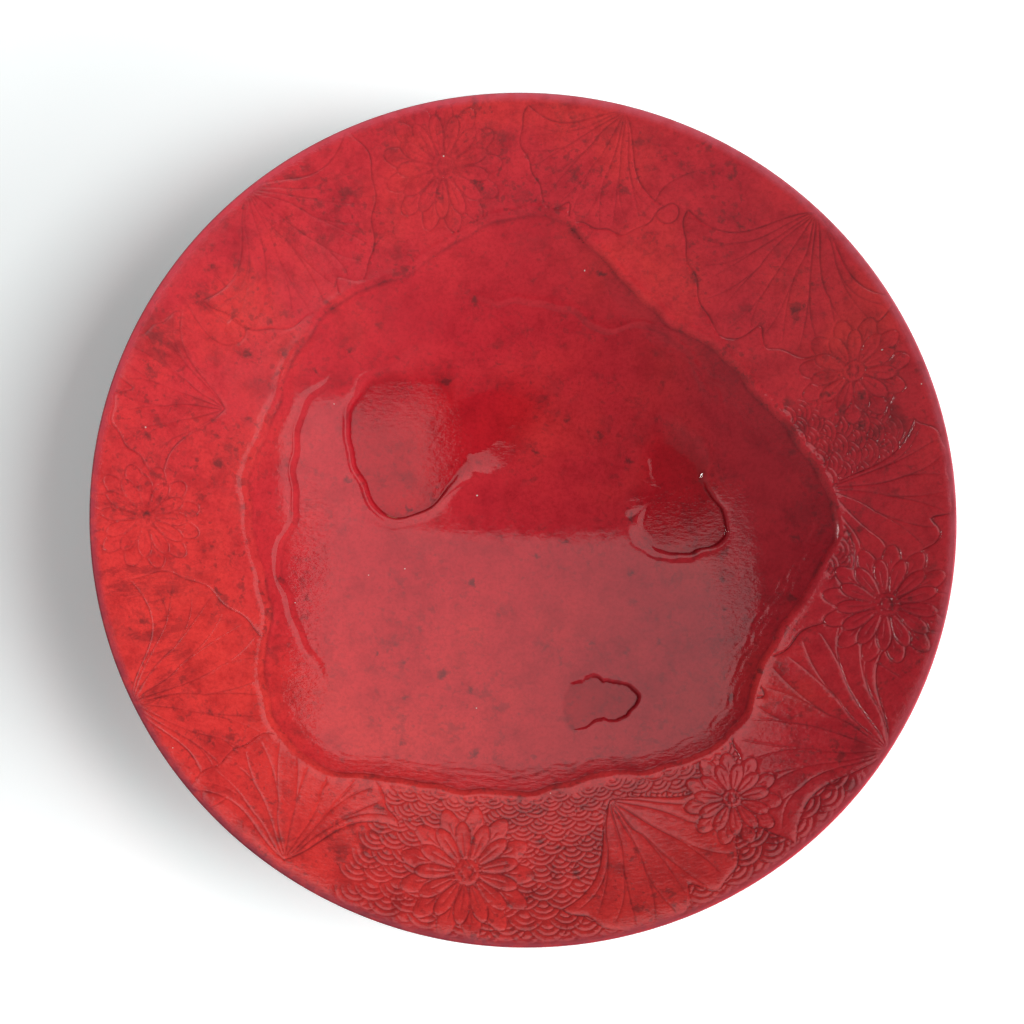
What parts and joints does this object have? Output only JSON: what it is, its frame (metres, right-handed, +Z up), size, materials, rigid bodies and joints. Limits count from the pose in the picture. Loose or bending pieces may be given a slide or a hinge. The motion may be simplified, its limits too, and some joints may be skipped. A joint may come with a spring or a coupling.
{
  "type": "footed dish",
  "caption": "Wide shallow dish of glazed stoneware on a hollow flared foot, carved inside in stepped levels under a glossy red glaze, for serving or display.",
  "frame": {"origin": "on the table, under the middle of the foot", "axes": "+Z up along the axis on which the dish was thrown; -Y towards the side from which the picture looks"},
  "size_m": [0.4, 0.4, 0.092],
  "materials": {
    "clay": "matt",
    "slip": "matt",
    "bank_glaze": "gloss",
    "pond_glaze": "gloss",
    "pool_glaze": "gloss",
    "outside_glaze": "gloss"
  },
  "bodies": {
    "root": {"bowl_body": "clay", "foot_ring": "clay", "joint_slip": "slip", "outer_joint_coil": "clay", "inner_joint_coil": "clay", "bank_glaze": "bank_glaze", "pond_glaze": "pond_glaze", "large_pool_glaze": "pool_glaze", "side_pool_glaze": "pool_glaze", "small_pool_glaze": "pool_glaze", "outside_glaze": "outside_glaze", "foot_glaze": "outside_glaze", "base_glaze": "outside_glaze"}
  },
  "joints": []
}
